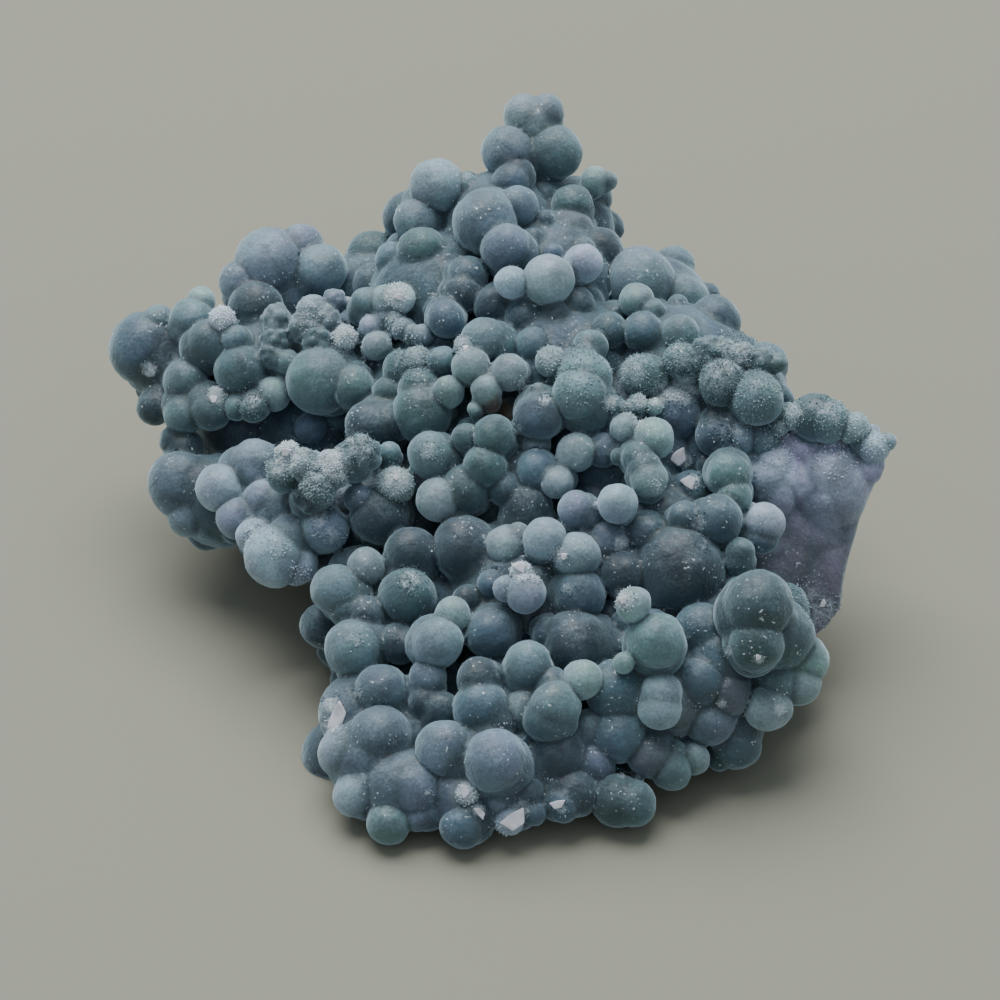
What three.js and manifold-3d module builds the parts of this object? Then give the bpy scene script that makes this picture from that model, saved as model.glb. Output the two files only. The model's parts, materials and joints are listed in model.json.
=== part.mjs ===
// Grape agate: one natural cluster of small chalcedony globes grown over a rough lumpy body.
// Millimetres, +Z up, resting on z = 0, origin under the middle of the specimen, front towards -Y.
// The whole is about 54 wide, 51 deep and 26 high, and its globes are 1 to 6 across.

import * as THREE from 'three';
import { SimplifyModifier } from 'three/addons/modifiers/SimplifyModifier.js';
import { mergeVertices } from 'three/addons/utils/BufferGeometryUtils.js';
import Module from 'manifold-3d';

// The globes are set out on a leaning plane. A row gives how far the globe's centre is to the right,
// how far up the plane, how far in front of it (towards the eye), and the globe's radius.
// Rows spread in perspective from an eye point, so a globe behind the plane is a little larger
// than its row says and one in front of it a little smaller.
const LEAN = THREE.MathUtils.degToRad(40);
const EYE_DISTANCE = 320;
const PLANE_CENTRE_HEIGHT = 12.5;
const CENTRE_RIGHT = -0.3;
const CENTRE_BACK = 4.5;

// Chords cut inside a round globe, so its corners stand out a little to keep the mean radius.
const SMALL_GLOBE_RADIUS = 1.25;
const SMALL_GLOBE = { detail: 1, swell: 1.035 };
const LARGE_GLOBE = { detail: 2, swell: 1.018 };
const BODY_LUMP = { detail: 2, swell: 1.01 };

// Corners left on the finished solid, and the length under which an edge closes up.
const CORNERS = 4900;
const SHORTEST_EDGE = 0.03;
const DRAWN_BACK = 0.15;

// Everything below the table is cut away.
const BELOW_TABLE = 20;
const TABLE_SPAN = 200;

// Globes that carry on over the sides and back that the rows leave bare.
const COVER_RADII = [1.5, 2.2, 1.8, 2.5];
const COVER_SINK = 0.35;
const COVER_SHOWS = 0.3;
const COVER_BELOW_TABLE = 0.5;
const COVER_SPACING = 0.86;
const COVER_PER_AREA = 0.085;
const GOLDEN_ANGLE = Math.PI * (3 - Math.sqrt(5));

// The wing that hangs out on the left above a dark hollow.
const leftWing = [
  [-23.6, 10.1, -12.0, 2.5],
  [-22.8, 11.9, -11.3, 1.1],
  [-20.5, 12.0, -10.5, 1.5],
  [-19.9, 13.3, -11.0, 1.0],
  [-18.5, 12.0, -8.0, 0.9],
  [-17.8, 10.8, -8.0, 1.0],
  [-19.3, 10.5, -9.0, 1.6],
  [-17.3, 8.7, -8.2, 1.8],
  [-15.1, 7.1, -7.5, 1.2],
  [-17.5, 6.2, -7.5, 0.9],
  [-16.4, 6.1, -7.0, 1.0],
  [-18.9, 7.0, -7.8, 0.6],
  [-21.0, 8.0, -9.5, 1.5],
  [-23.0, 6.2, -10.5, 1.3],
  [-21.1, 5.7, -9.0, 1.4],
  [-19.3, 6.0, -8.2, 1.4],
  [-21.5, 4.0, -9.5, 1.2],
];

// Lavender lumps low on the left, under the wing.
const lowLeft = [
  [-21.2, 1.0, -8.5, 2.3],
  [-20.6, -0.9, -8.0, 1.6],
  [-19.4, -1.8, -7.5, 0.9],
  [-18.7, 0.8, -5.2, 1.6],
  [-16.2, 2.2, -6.0, 1.9],
  [-17.5, -1.2, -4.5, 1.4],
  [-15.6, 0.0, -4.5, 1.5],
  [-15.0, -3.7, -2.0, 2.1],
  [-11.7, -1.9, -1.5, 1.6],
  [-9.3, 0.2, -0.5, 0.8],
];

// The knobby finger that points left over the lavender lumps.
const finger = [
  [-14.1, 3.1, -1.0, 0.8],
  [-14.5, 1.9, -1.0, 1.0],
  [-12.9, 2.2, -0.5, 1.1],
  [-12.3, 1.0, 0.0, 1.0],
  [-11.1, 2.3, 0.0, 1.0],
  [-11.8, 0.5, 0.2, 0.9],
  [-10.9, 1.5, 0.2, 0.8],
  [-9.4, 3.0, 0.0, 1.3],
  [-12.5, 0.2, -1.0, 1.3],
];

// Small knobs in the middle of the left half, with the larger globes below them.
const leftMiddle = [
  [-14.9, 12.0, -8.5, 1.0],
  [-15.0, 10.6, -8.0, 1.0],
  [-15.2, 9.6, -7.5, 0.9],
  [-14.2, 9.2, -7.2, 0.9],
  [-12.5, 12.6, -8.2, 1.1],
  [-11.0, 13.4, -8.2, 0.7],
  [-13.0, 11.5, -7.8, 1.1],
  [-11.5, 12.0, -7.8, 0.9],
  [-10.3, 10.8, -7.0, 0.8],
  [-12.2, 10.6, -7.2, 1.0],
  [-8.9, 13.2, -7.6, 1.1],
  [-7.7, 13.3, -7.2, 1.1],
  [-6.7, 13.4, -7.1, 1.1],
  [-8.6, 11.6, -6.8, 0.8],
  [-7.6, 12.2, -7.0, 0.8],
  [-6.5, 11.4, -6.3, 0.8],
  [-5.2, 11.0, -5.6, 0.8],
  [-12.0, 8.0, -6.9, 2.3],
  [-9.8, 7.5, -6.0, 1.5],
  [-8.2, 10.3, -6.3, 1.0],
  [-6.5, 8.7, -5.0, 1.4],
  [-5.5, 9.2, -4.5, 1.1],
  [-7.3, 7.2, -4.8, 1.2],
  [-8.5, 4.8, -4.0, 1.9],
  [-7.0, 5.2, -3.5, 1.3],
  [-7.4, 3.1, -1.5, 0.8],
];

// The lavender hump at the back left.
const backLeft = [
  [-15.3, 15.8, -13.0, 2.4],
  [-13.3, 16.8, -13.5, 1.6],
  [-17.2, 14.5, -12.5, 1.5],
  [-12.0, 15.3, -12.5, 1.8],
  [-16.3, 12.8, -11.5, 1.9],
  [-8.5, 16.2, -15.5, 1.8],
];

// The peak at the back, with the round lobes in front of it.
const peak = [
  [1.7, 25.6, -13.1, 1.5],
  [3.0, 25.8, -13.1, 1.3],
  [0.5, 23.2, -12.5, 1.8],
  [3.7, 23.2, -12.5, 1.8],
  [-4.2, 20.9, -12.0, 1.9],
  [-2.3, 20.9, -12.0, 1.0],
  [-5.6, 18.6, -11.5, 1.5],
  [0.7, 21.2, -11.0, 1.3],
  [-1.0, 18.6, -8.0, 2.2],
  [1.2, 19.6, -8.6, 1.35],
  [0.4, 16.8, -6.5, 1.7],
  [0.8, 14.5, -4.1, 1.15],
  [3.2, 14.7, -4.3, 1.75],
  [5.5, 15.8, -5.5, 1.35],
  [-5.2, 16.6, -9.5, 1.6],
  [-2.2, 14.9, -7.0, 1.4],
  [4.8, 19.7, -11.0, 1.4],
  [6.4, 21.3, -11.5, 1.0],
  [7.2, 21.3, -11.5, 0.7],
  [4.5, 17.7, -10.5, 1.8],
  [6.7, 16.7, -10.0, 1.5],
];

// The shoulder on the right of the peak and the slope that runs down from it.
const shoulder = [
  [9.3, 14.5, -9.5, 2.4],
  [12.1, 13.3, -10.0, 1.8],
  [9.1, 13.3, -5.4, 1.2],
  [10.1, 12.5, -5.0, 1.0],
  [7.3, 11.3, -4.0, 1.3],
  [9.5, 11.2, -3.6, 1.4],
  [12.0, 11.0, -3.3, 1.4],
  [-2.5, 13.8, -6.3, 1.3],
  [-0.5, 13.0, -5.7, 1.3],
  [1.5, 12.2, -4.9, 1.3],
  [3.7, 12.2, -4.7, 1.2],
  [5.2, 13.0, -5.4, 1.2],
];

// The middle, where globes of every size crowd together.
const middle = [
  [-3.6, 12.1, -5.0, 1.3],
  [-1.0, 10.6, -3.5, 1.6],
  [-2.4, 10.3, -3.0, 0.7],
  [-3.9, 9.3, -3.5, 1.0],
  [-1.9, 8.9, -2.0, 1.3],
  [0.6, 8.5, -1.6, 1.3],
  [-0.9, 7.3, -1.3, 1.1],
  [2.6, 7.2, -0.8, 0.7],
  [2.6, 5.6, -0.5, 1.7],
  [-1.7, 6.1, -1.2, 0.6],
  [-3.4, 7.2, -2.0, 1.1],
  [-5.3, 7.3, -3.5, 1.5],
  [-5.2, 5.8, -3.0, 2.0],
  [-4.6, 3.0, -1.0, 1.6],
  [-2.3, 4.2, -0.5, 1.0],
  [-0.4, 4.2, -0.3, 1.5],
  [-1.0, 2.2, 0.0, 1.5],
  [2.4, 3.8, -1.0, 1.0],
  [2.5, 1.9, -0.3, 1.5],
  [5.1, 3.2, 0.0, 1.35],
  [3.8, 1.2, 0.5, 1.15],
  [5.1, -0.6, 2.6, 1.25],
  [7.8, -0.2, 3.6, 1.35],
  [-4.1, 0.0, 0.0, 1.5],
  [-2.3, 0.7, -0.5, 1.7],
  [-7.0, 1.0, -0.7, 1.3],
  [-8.0, -1.0, -1.5, 2.0],
  [0.3, 0.8, -0.3, 1.2],
  [1.8, -0.5, -0.5, 1.8],
  [-2.4, -3.2, 0.5, 2.2],
  [-5.9, -3.5, 0.3, 1.8],
  [-8.95, -4.5, 0.8, 1.3],
];

// The right half behind the shard, up to the row of knobs that ends in a point.
const rightMiddle = [
  [3.4, 9.2, -1.6, 1.1],
  [5.6, 8.2, -1.2, 1.9],
  [5.8, 9.9, -1.8, 0.8],
  [5.3, 7.0, -0.3, 1.9],
  [7.6, 6.3, 0.0, 0.8],
  [9.2, 6.4, 0.0, 0.8],
  [10.3, 6.2, 0.0, 0.7],
  [6.0, 10.2, -2.5, 1.2],
  [9.4, 8.3, -1.6, 1.4],
  [12.0, 9.3, -1.8, 1.2],
  [13.8, 9.9, -1.8, 1.0],
  [14.8, 10.0, -1.8, 0.8],
  [16.2, 9.6, -1.5, 0.9],
  [17.5, 9.3, -1.3, 0.8],
  [18.5, 9.1, -1.2, 0.6],
  [14.8, 7.8, -0.8, 1.6],
  [17.2, 6.7, 0.0, 1.75],
  [14.5, 4.3, -1.2, 1.5],
  [16.0, 4.2, -1.0, 1.2],
  [17.5, 4.1, -1.0, 1.0],
  [8.3, 4.8, 0.3, 1.0],
  [10.2, 4.1, 0.8, 1.4],
  [9.2, 2.8, 1.5, 1.2],
  [9.9, 1.4, 2.3, 1.3],
  [7.9, 2.9, 0.8, 0.6],
  [6.9, 3.3, -0.5, 1.2],
  [15.2, 1.7, 1.2, 1.5],
  [15.6, 0.2, 1.8, 1.2],
  [14.5, -1.3, 2.8, 1.7],
  [12.3, -1.2, 2.8, 1.2],
  [16.0, -3.5, 3.3, 1.0],
  [7.2, -2.8, 2.2, 1.6],
  [9.8, -2.2, 2.0, 1.6],
  [8.2, -5.0, 3.2, 1.6],
  [12.0, -4.7, 2.3, 3.2],
];

// The front, stepping down to the table.
const front = [
  [-10.9, -6.0, 1.2, 1.75],
  [-10.2, -7.3, 1.5, 1.3],
  [-11.9, -8.4, -1.0, 1.5],
  [-6.2, -6.4, 1.8, 1.9],
  [-8.9, -7.7, 2.0, 1.3],
  [-9.8, -9.9, 2.9, 1.95],
  [-6.8, -9.6, 2.6, 1.4],
  [-4.2, -9.5, 5.0, 1.75],
  [-3.2, -7.7, 4.1, 1.25],
  [-2.2, -6.6, 2.5, 1.0],
  [0.4, -3.0, 2.0, 1.35],
  [1.2, -2.3, 2.0, 0.8],
  [3.0, -2.6, 3.6, 1.45],
  [5.1, -3.7, 3.6, 1.6],
  [1.7, -6.2, 5.0, 1.35],
  [0.4, -5.9, 4.6, 0.9],
  [1.4, -4.8, 4.6, 0.75],
  [-0.6, -8.9, 4.0, 1.75],
  [3.2, -8.9, 4.6, 1.1],
  [5.0, -9.6, 4.5, 2.3],
  [5.3, -6.3, 3.6, 1.8],
  [1.8, -10.9, 6.7, 1.6],
  [5.5, -12.0, 7.5, 1.35],
  [1.7, -13.8, 6.6, 1.35],
  [3.7, -13.7, 7.9, 1.7],
  [3.4, -12.3, 7.0, 1.2],
  [10.4, -9.4, 7.9, 1.95],
  [8.9, -6.95, 8.5, 1.2],
  [8.3, -10.8, 8.3, 0.75],
  [10.7, -12.9, 7.5, 1.45],
  [10.65, -13.8, 7.5, 1.5],
  [-7.9, -12.9, 4.5, 1.95],
  [-10.1, -13.3, 3.0, 0.9],
  [-11.2, -14.6, 3.5, 0.9],
  [-8.0, -15.9, 6.0, 2.2],
  [-10.2, -16.8, 5.5, 1.9],
  [-4.8, -11.9, 5.0, 1.3],
  [-5.0, -13.4, 5.4, 1.1],
  [-1.4, -11.9, 6.0, 1.5],
  [-1.2, -13.9, 6.6, 1.9],
  [-4.0, -14.0, 5.6, 1.3],
  [-3.7, -16.6, 7.6, 1.95],
  [-0.35, -17.4, 8.7, 2.15],
  [7.9, -12.8, 6.0, 2.2],
  [7.9, -15.6, 6.2, 2.0],
  [5.9, -15.2, 6.2, 1.3],
  [3.8, -16.9, 6.3, 2.2],
  [6.2, -17.5, 6.3, 1.5],
  [10.0, -17.0, 6.2, 1.6],
  [13.4, -8.7, 4.6, 1.9],
  [13.3, -12.2, 5.8, 1.9],
  [15.2, -12.9, 5.8, 1.5],
  [17.2, -7.0, 7.2, 2.4],
  [17.1, -9.6, 7.6, 1.9],
  [18.7, -8.0, 6.8, 1.2],
];

// The lowest row, which touches the table.
const foot = [
  [-9.6, -19.6, 6.8, 1.6],
  [-7.4, -21.5, 8.0, 1.5],
  [-5.8, -19.3, 7.5, 2.0],
  [-5.5, -21.0, 7.8, 1.2],
  [-2.3, -19.6, 8.5, 0.9],
  [-2.5, -21.8, 8.4, 1.5],
  [0.0, -20.0, 7.6, 1.3],
  [1.6, -19.6, 7.2, 1.6],
  [0.6, -21.4, 8.3, 1.0],
  [2.3, -20.9, 8.0, 0.9],
  [4.2, -20.4, 7.8, 1.15],
  [5.0, -19.5, 7.0, 1.7],
  [8.8, -20.2, 7.2, 1.65],
  [11.4, -18.0, 6.2, 1.4],
  [12.95, -17.3, 5.6, 1.1],
  [14.6, -17.2, 4.0, 0.9],
  [15.7, -16.3, 4.2, 1.7],
  [14.0, -14.6, 5.2, 1.8],
  [17.9, -13.9, 5.6, 1.6],
  [18.6, -12.1, 5.2, 1.5],
  [19.8, -12.2, 4.8, 1.6],
  [20.3, -10.6, 4.6, 1.65],
];

// Knobs along the top of the shard, the bulges of its face and the bead that sits on it.
const shardKnobs = [
  [19.6, 5.6, -0.5, 0.9],
  [18.6, 4.9, -0.5, 0.6],
  [21.8, 5.3, -0.5, 1.5],
  [23.6, 4.8, -0.5, 1.1],
  [24.9, 3.5, -0.3, 1.2],
  [25.9, 3.9, -0.3, 0.6],
  [22.0, 2.2, -2.0, 2.0],
  [18.8, 1.0, -2.0, 2.0],
  [17.65, -1.5, 2.0, 1.4],
];

// Outline of the lavender shard on the right, a broken plate lying along the leaning plane.
const SHARD_FRONT = -0.8;
const SHARD_THICKNESS = 3.2;
const SHARD_EDGE = 0.6;
const shardOutline = [
  [16.0, 3.6],
  [19.5, 4.6],
  [24.6, 4.2],
  [25.4, 2.4],
  [23.7, -1.4],
  [22.7, -5.2],
  [22.5, -7.2],
  [21.1, -9.0],
  [18.5, -9.6],
  [15.0, -5.0],
];

// The hidden body that everything grows from.
const body = [
  [-6.0, -17.0, 1.0, 5.6],
  [2.0, -15.0, 0.5, 6.0],
  [10.0, -12.0, 0.0, 6.0],
  [15.5, -10.0, 1.0, 5.0],
  [-6.0, -9.0, -3.5, 5.8],
  [2.0, -7.0, -2.5, 6.3],
  [10.0, -4.0, -3.5, 6.3],
  [-7.0, -2.0, -7.5, 5.6],
  [0.0, 1.0, -7.0, 6.2],
  [8.0, 3.0, -6.3, 6.0],
  [15.0, 3.0, -6.2, 4.8],
  [-4.0, 6.0, -9.3, 5.6],
  [4.0, 8.0, -8.2, 6.0],
  [12.0, 8.0, -7.2, 5.2],
  [16.0, 7.0, -4.5, 3.2],
  [-10.0, 8.5, -11.6, 4.2],
  [-15.5, 9.0, -12.2, 3.8],
  [-21.0, 8.5, -12.8, 3.0],
  [-4.0, 13.0, -12.2, 5.0],
  [3.0, 14.0, -11.8, 5.4],
  [10.0, 12.0, -13.0, 4.4],
  [-14.0, 13.5, -15.5, 3.8],
  [-8.5, 13.5, -15.5, 3.4],
  [0.0, 18.0, -13.2, 4.0],
  [4.5, 18.0, -14.5, 3.2],
  [2.0, 22.5, -14.2, 2.4],
  [-4.5, 19.0, -14.0, 2.4],
  [-18.5, 0.0, -9.0, 3.2],
  [-13.5, -1.5, -6.0, 3.8],
  [-17.0, 4.5, -13.5, 3.4],
  [-12.5, 4.0, -12.5, 4.2],
  [1.0, -19.0, 4.2, 3.2],
  [1.5, 19.5, -16.5, 3.4],
  [1.5, 14.0, -18.0, 4.6],
  [2.0, -5.0, -8.5, 5.6],
  [9.0, -5.0, -8.5, 5.4],
  [-8.0, 0.0, -15.0, 5.2],
  [-2.0, -1.0, -13.0, 5.6],
  [7.0, 0.0, -14.5, 5.6],
  [12.5, 0.5, -12.5, 5.2],
  [3.0, 4.0, -20.0, 5.4],
  [0.0, 9.0, -17.0, 5.2],
  [8.5, 7.5, -16.0, 4.6],
  [-8.0, 7.0, -17.0, 4.6],
];

const wasm = await Module();
wasm.setup();

const planeUp = new THREE.Vector3(0, Math.sin(LEAN), Math.cos(LEAN));
const planeFront = new THREE.Vector3(0, -Math.cos(LEAN), Math.sin(LEAN));

// A point of the leaning plane's frame in the part's own frame.
function placed(right, up, near) {
  const spread = 1 - near / EYE_DISTANCE;
  return new THREE.Vector3(right * spread - CENTRE_RIGHT, -CENTRE_BACK, PLANE_CENTRE_HEIGHT)
    .addScaledVector(planeUp, up * spread)
    .addScaledVector(planeFront, near);
}

// A row as a globe: its centre and its real radius.
function globeOf([right, up, near, radius]) {
  return { centre: placed(right, up, near), radius: radius * (1 - near / EYE_DISTANCE) };
}

// A closed geometry as a solid that can be joined and cut.
function solidOf(geometry) {
  geometry.deleteAttribute('normal');
  geometry.deleteAttribute('uv');
  const merged = mergeVertices(geometry, SHORTEST_EDGE / 10);
  return new wasm.Manifold(new wasm.Mesh({
    numProp: 3,
    tolerance: SHORTEST_EDGE,
    vertProperties: Float32Array.from(merged.attributes.position.array),
    triVerts: Uint32Array.from(merged.index.array),
  }));
}

// The faces of a solid.
function geometryOf(solid) {
  const mesh = solid.getMesh();
  const geometry = new THREE.BufferGeometry();
  geometry.setAttribute('position', new THREE.Float32BufferAttribute(mesh.vertProperties, 3));
  geometry.setIndex(new THREE.Uint32BufferAttribute(mesh.triVerts, 1));
  return geometry;
}

// The largest closed surface alone, so that pockets sealed inside the specimen are stone.
function outside(solid) {
  return solid.decompose().sort((a, b) => b.volume() - a.volume())[0];
}

// The same form with fewer corners, kept where the surface turns most.
async function thinned(solid) {
  const geometry = geometryOf(solid);
  const surplus = geometry.attributes.position.count - CORNERS;
  return solidOf(await new SimplifyModifier().modify(geometry, surplus));
}

// Where two sheets of the surface share a corner, each draws back towards its own neighbours.
function parted(solid) {
  const mesh = solid.getMesh();
  const corners = Array.from({ length: mesh.numVert }, (_, i) => ({
    at: new THREE.Vector3().fromArray(mesh.vertProperties, 3 * i),
    around: new THREE.Vector3(),
    faces: 0,
  }));
  for (let i = 0; i < mesh.triVerts.length; i += 3) {
    const face = Array.from(mesh.triVerts.slice(i, i + 3), (corner) => corners[corner]);
    const middle = new THREE.Vector3();
    face.forEach((corner) => middle.addScaledVector(corner.at, 1 / 3));
    face.forEach((corner) => {
      corner.around.add(middle);
      corner.faces += 1;
    });
  }
  const sharing = Map.groupBy(corners, (corner) => corner.at.toArray().join());
  [...sharing.values()].filter((group) => group.length > 1).flat().forEach((corner) => {
    corner.at.lerp(corner.around.divideScalar(corner.faces), DRAWN_BACK);
  });
  return new wasm.Manifold(new wasm.Mesh({
    numProp: 3,
    vertProperties: Float32Array.from(corners.flatMap((corner) => corner.at.toArray())),
    triVerts: mesh.triVerts,
  }));
}

function globeSolid(globe, style) {
  const geometry = new THREE.IcosahedronGeometry(globe.radius * style.swell, style.detail);
  geometry.translate(...globe.centre.toArray());
  return solidOf(geometry);
}

// The shard as a plate with blunt edges, from its outline on the leaning plane.
function shardSolid() {
  const outline = new THREE.Shape(shardOutline.map(([right, up]) => new THREE.Vector2(right, up)));
  const geometry = new THREE.ExtrudeGeometry(outline, {
    depth: SHARD_THICKNESS - 2 * SHARD_EDGE,
    bevelThickness: SHARD_EDGE,
    bevelSize: SHARD_EDGE,
    bevelOffset: -SHARD_EDGE,
    bevelSegments: 1,
  });
  const backFace = SHARD_FRONT - SHARD_THICKNESS + SHARD_EDGE;
  const toPart = new THREE.Matrix4().makeBasis(new THREE.Vector3(1, 0, 0), planeUp, planeFront);
  toPart.setPosition(placed(0, 0, backFace));
  geometry.applyMatrix4(toPart);
  return solidOf(geometry);
}

// Globes spread over the body in a spiral on each lump, wherever no lump, row or earlier globe is.
function coverGlobes(lumps, rows) {
  const cover = [];
  lumps.forEach((lump, lumpNumber) => {
    const count = Math.round(4 * Math.PI * lump.radius ** 2 * COVER_PER_AREA);
    for (let i = 0; i < count; i += 1) {
      const height = 1 - (2 * i + 1) / count;
      const ring = Math.sqrt(1 - height ** 2);
      const turn = GOLDEN_ANGLE * (i + lumpNumber);
      const outward = new THREE.Vector3(ring * Math.cos(turn), ring * Math.sin(turn), height);
      const radius = COVER_RADII[(i * 3 + lumpNumber) % COVER_RADII.length];
      const reach = lump.radius - COVER_SINK * radius;
      const centre = lump.centre.clone().addScaledVector(outward, reach);
      const buried = lumps.some((other) => other !== lump
        && centre.distanceTo(other.centre) < other.radius - COVER_SINK * radius - COVER_SHOWS);
      const crowded = [...rows, ...cover].some((other) => (
        centre.distanceTo(other.centre) < COVER_SPACING * (other.radius + radius)));
      if (!buried && !crowded && centre.z > -COVER_BELOW_TABLE * radius) {
        cover.push({ centre, radius });
      }
    }
  });
  return cover;
}

const rowGlobes = [
  leftWing, lowLeft, finger, leftMiddle, backLeft, peak, shoulder, middle, rightMiddle, front, foot,
  shardKnobs,
].flat().map(globeOf);
const bodyLumps = body.map(globeOf);
const cover = coverGlobes(bodyLumps, rowGlobes);

const solids = [
  shardSolid(),
  ...bodyLumps.map((lump) => globeSolid(lump, BODY_LUMP)),
  ...[...rowGlobes, ...cover].map((globe) => (
    globeSolid(globe, globe.radius < SMALL_GLOBE_RADIUS ? SMALL_GLOBE : LARGE_GLOBE))),
];
const grown = outside(wasm.Manifold.union(solids));
const faceted = outside(parted(await thinned(grown)));

// The lowest globes are rubbed flat where the specimen stands.
const belowTable = new THREE.BoxGeometry(TABLE_SPAN, TABLE_SPAN, BELOW_TABLE);
belowTable.translate(0, 0, -BELOW_TABLE / 2);
const cluster = outside(faceted.subtract(solidOf(belowTable)));

const chalcedony = new THREE.MeshStandardMaterial({ color: 0x5f6f78, roughness: 0.6, metalness: 0 });
const grapeAgate = new THREE.Mesh(geometryOf(cluster), chalcedony);
grapeAgate.name = 'grape_agate';

const group = new THREE.Group();
group.add(grapeAgate);
export default group;
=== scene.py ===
import json
import math

import bpy
import numpy as np
from mathutils import Matrix, Vector

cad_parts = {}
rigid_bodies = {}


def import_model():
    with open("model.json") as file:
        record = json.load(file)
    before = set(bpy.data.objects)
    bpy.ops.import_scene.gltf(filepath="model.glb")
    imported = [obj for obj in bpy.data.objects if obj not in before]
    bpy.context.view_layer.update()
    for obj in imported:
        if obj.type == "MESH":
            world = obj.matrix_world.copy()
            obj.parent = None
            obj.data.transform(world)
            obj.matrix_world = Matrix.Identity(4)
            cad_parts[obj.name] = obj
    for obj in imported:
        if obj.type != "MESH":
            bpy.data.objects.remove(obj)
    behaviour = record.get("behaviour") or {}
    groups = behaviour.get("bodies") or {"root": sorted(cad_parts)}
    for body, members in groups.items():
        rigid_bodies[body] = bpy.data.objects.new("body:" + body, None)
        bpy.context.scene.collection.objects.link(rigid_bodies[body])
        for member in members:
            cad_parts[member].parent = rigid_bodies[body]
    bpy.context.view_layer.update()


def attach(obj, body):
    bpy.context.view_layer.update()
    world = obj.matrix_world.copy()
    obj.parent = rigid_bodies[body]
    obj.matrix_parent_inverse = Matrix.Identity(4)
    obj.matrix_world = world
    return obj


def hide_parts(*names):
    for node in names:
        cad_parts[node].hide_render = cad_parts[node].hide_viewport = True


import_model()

MM = 0.001


# The cluster is one natural growth of chalcedony: hundreds of round grapes, each a ball of
# fine radiating fibres, grown into each other over a lumpy body. It is modelled in millimetres
# as overlapping balls, fused into one skin, roughened, and cut flat where it stands.

# The balls are set out on a plane that leans back, as seen from an eye in front of its middle.
LEAN = math.radians(40)
EYE_DISTANCE = 320.0
PLANE_CENTRE = Vector((0.3, -4.5, 12.5))
PLANE_UP = Vector((0, math.sin(LEAN), math.cos(LEAN)))
PLANE_FRONT = Vector((0, -math.cos(LEAN), math.sin(LEAN)))

# Colours of the stone, from the darkest glassy blue-grey to the white sugar crust.
NIGHT = (0.006, 0.023, 0.037)
MOSS = (0.014, 0.042, 0.046)
SLATE = (0.036, 0.074, 0.105)
TEAL = (0.028, 0.072, 0.079)
SEA = (0.080, 0.146, 0.158)
# LIT_SLATE is slate painted paler: painted light from behind on the back grapes.
LIT_SLATE = (0.122, 0.180, 0.215)
PALE = (0.178, 0.252, 0.262)
LILAC = (0.083, 0.118, 0.163)
DUSK = (0.062, 0.088, 0.130)
MIST = (0.220, 0.280, 0.340)
BEAD = (0.320, 0.390, 0.450)
LAVENDER = (0.128, 0.160, 0.214)
PLUM = (0.067, 0.077, 0.100)
WHITE = (0.420, 0.500, 0.540)

# Each row: how far right, how far up, how far in front of the plane, radius, colour.
left_wing = [
    (-23.6, 10.1, -12.0, 2.5, SLATE),
    (-22.8, 11.9, -11.3, 1.1, SEA),
    (-20.5, 12.0, -10.5, 1.5, SEA),
    (-19.9, 13.3, -11.0, 1.0, PALE),
    (-18.5, 12.0, -8.0, 0.9, WHITE),
    (-17.8, 10.8, -8.0, 1.0, SEA),
    (-19.3, 10.5, -9.0, 1.6, TEAL),
    (-17.3, 8.7, -8.2, 1.8, TEAL),
    (-15.1, 7.1, -7.5, 1.2, PALE),
    (-17.5, 6.2, -7.5, 0.9, SEA),
    (-16.4, 6.1, -7.0, 1.0, TEAL),
    (-18.9, 7.0, -7.8, 0.6, WHITE),
    (-21.0, 8.0, -9.5, 1.5, SEA),
    (-23.0, 6.2, -10.5, 1.3, NIGHT),
    (-21.1, 5.7, -9.0, 1.4, SEA),
    (-19.3, 6.0, -8.2, 1.4, TEAL),
    (-21.5, 4.0, -9.5, 1.2, NIGHT),
]
low_left = [
    (-21.2, 1.0, -8.5, 2.3, DUSK),
    (-20.6, -0.9, -8.0, 1.6, LIT_SLATE),
    (-19.4, -1.8, -7.5, 0.9, LIT_SLATE),
    (-18.7, 0.8, -5.2, 1.6, MIST),
    (-16.2, 2.2, -6.0, 1.9, LAVENDER),
    (-17.5, -1.2, -4.5, 1.4, LAVENDER),
    (-15.6, 0.0, -4.5, 1.5, LAVENDER),
    (-15.0, -3.7, -2.0, 2.1, MIST),
    (-11.7, -1.9, -1.5, 1.6, LILAC),
    (-9.3, 0.2, -0.5, 0.8, LILAC),
]
finger = [
    (-14.1, 3.1, -1.0, 0.8, WHITE),
    (-14.5, 1.9, -1.0, 1.0, SEA),
    (-12.9, 2.2, -0.5, 1.1, PALE),
    (-12.3, 1.0, 0.0, 1.0, PALE),
    (-11.1, 2.3, 0.0, 1.0, WHITE),
    (-11.8, 0.5, 0.2, 0.9, SEA),
    (-10.9, 1.5, 0.2, 0.8, PALE),
    (-9.4, 3.0, 0.0, 1.3, SEA),
    (-12.5, 0.2, -1.0, 1.3, NIGHT),
]
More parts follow.
